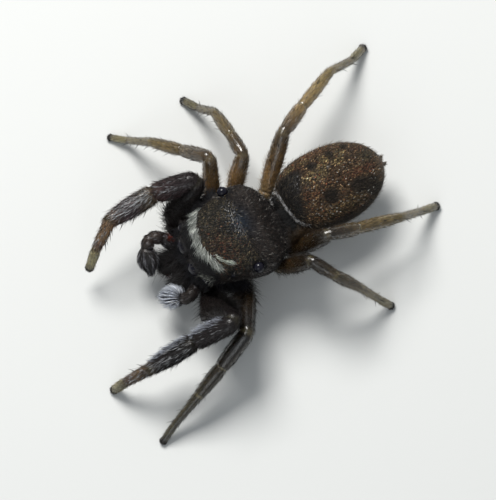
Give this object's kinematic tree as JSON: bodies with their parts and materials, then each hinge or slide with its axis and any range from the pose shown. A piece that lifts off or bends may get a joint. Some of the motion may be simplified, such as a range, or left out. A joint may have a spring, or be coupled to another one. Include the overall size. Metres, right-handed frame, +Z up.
{
  "type": "jumping spider",
  "caption": "Small brown jumping spider, still, with a foreleg raised: boxy high carapace, large front eyes, bronze oval abdomen, thick dark forelegs, slim amber hind legs.",
  "frame": {"origin": "on the floor, under the middle of the model's box", "axes": "the spider faces -Y, +X is its left side, +Z is up; it stands on the floor at Z = 0"},
  "size_m": [0.0096, 0.0116, 0.0032],
  "materials": {
    "carapace": "dark shell under bronze scales and pale hairs",
    "abdomen": "soft skin under copper and bronze scales",
    "underside": "satin brown shell, thin hairs",
    "chelicera": "glossy black-brown shell",
    "palp": "brown shell with pale hairs",
    "palp_tuft": "dense white hairs",
    "foreleg": "dark purplish-brown shell with grey-white hairs",
    "leg": "clear amber-brown shell, glossy, thin hairs",
    "eye": "polished black lens",
    "fang": "polished dark red-brown"
  },
  "bodies": {
    "root": {"abdomen": "abdomen", "carapace": "carapace", "chelicera_left": "chelicera", "chelicera_right": "chelicera", "endite_left": "underside", "endite_right": "underside", "eye_front_middle_left": "eye", "eye_front_middle_right": "eye", "eye_front_side_left": "eye", "eye_front_side_right": "eye", "eye_rear_middle_left": "eye", "eye_rear_middle_right": "eye", "eye_rear_side_left": "eye", "eye_rear_side_right": "eye", "fang_left": "fang", "fang_right": "fang", "leg_1_left_coxa": "foreleg", "leg_1_left_femur": "foreleg", "leg_1_left_foot": "foreleg", "leg_1_left_shin": "foreleg", "leg_1_right_coxa": "foreleg", "leg_1_right_femur": "foreleg", "leg_1_right_foot": "foreleg", "leg_1_right_shin": "foreleg", "leg_2_left_coxa": "leg", "leg_2_left_femur": "leg", "leg_2_left_foot": "leg", "leg_2_left_shin": "leg", "leg_2_right_coxa": "leg", "leg_2_right_femur": "leg", "leg_2_right_foot": "leg", "leg_2_right_shin": "leg", "leg_3_left_coxa": "leg", "leg_3_left_femur": "leg", "leg_3_left_foot": "leg", "leg_3_left_shin": "leg", "leg_3_right_coxa": "leg", "leg_3_right_femur": "leg", "leg_3_right_foot": "leg", "leg_3_right_shin": "leg", "leg_4_left_coxa": "leg", "leg_4_left_femur": "leg", "leg_4_left_foot": "leg", "leg_4_left_shin": "leg", "leg_4_right_coxa": "leg", "leg_4_right_femur": "leg", "leg_4_right_foot": "leg", "leg_4_right_shin": "leg", "palp_left_cymbium": "palp_tuft", "palp_left_limb": "palp", "palp_right_cymbium": "palp_tuft", "palp_right_limb": "palp", "pedicel": "leg", "spinnerets": "leg", "sternum": "underside"}
  },
  "joints": []
}
